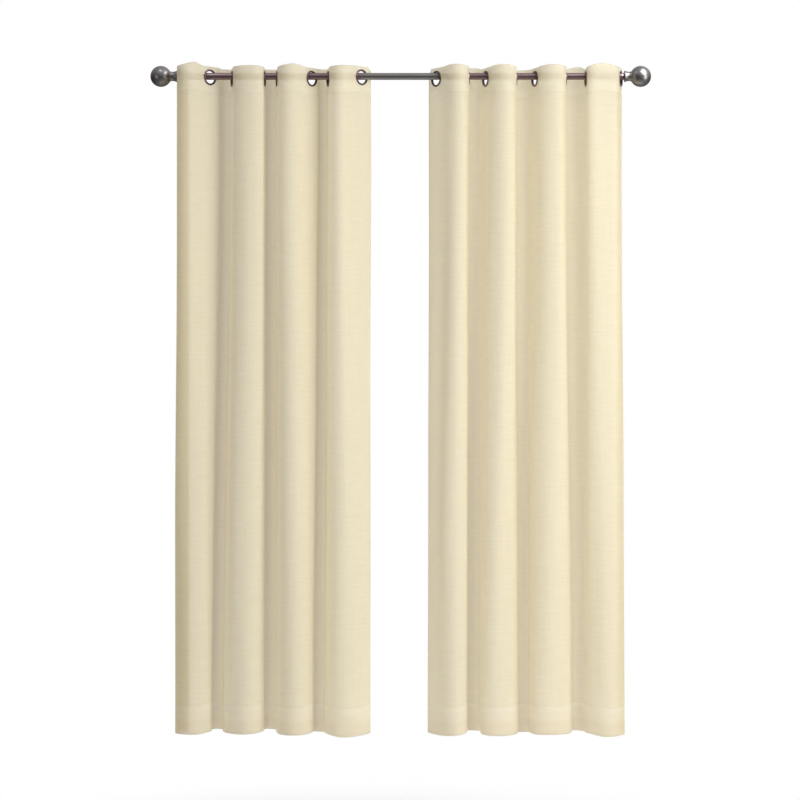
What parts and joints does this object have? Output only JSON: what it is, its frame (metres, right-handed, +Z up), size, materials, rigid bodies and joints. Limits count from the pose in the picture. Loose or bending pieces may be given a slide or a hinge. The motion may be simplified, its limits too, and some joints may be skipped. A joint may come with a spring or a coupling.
{
  "type": "sheer eyelet curtains on a curtain rod",
  "caption": "Sheer eyelet curtain panels hanging in soft folds from a straight round rod with ball finials, parted in the middle.",
  "frame": {"origin": "middle of the rod's axis, where the wall holds the rod", "axes": "+X along the rod, -Y towards the room and +Y towards the wall, +Z up"},
  "size_m": [1.604, 0.1434, 2.1509],
  "materials": {
    "cream_voile": "sheer plain-weave voile",
    "dark_nickel": "polished dark nickel",
    "brushed_nickel": "satin pewter-grey nickel"
  },
  "bodies": {
    "root": {"curtain_left": "cream_voile", "curtain_right": "cream_voile", "eyelet_left_1": "dark_nickel", "eyelet_left_2": "dark_nickel", "eyelet_left_3": "dark_nickel", "eyelet_left_4": "dark_nickel", "eyelet_left_5": "dark_nickel", "eyelet_left_6": "dark_nickel", "eyelet_left_7": "dark_nickel", "eyelet_left_8": "dark_nickel", "eyelet_right_1": "dark_nickel", "eyelet_right_2": "dark_nickel", "eyelet_right_3": "dark_nickel", "eyelet_right_4": "dark_nickel", "eyelet_right_5": "dark_nickel", "eyelet_right_6": "dark_nickel", "eyelet_right_7": "dark_nickel", "eyelet_right_8": "dark_nickel", "rod": "brushed_nickel", "finial_left": "brushed_nickel", "finial_right": "brushed_nickel"}
  },
  "joints": []
}
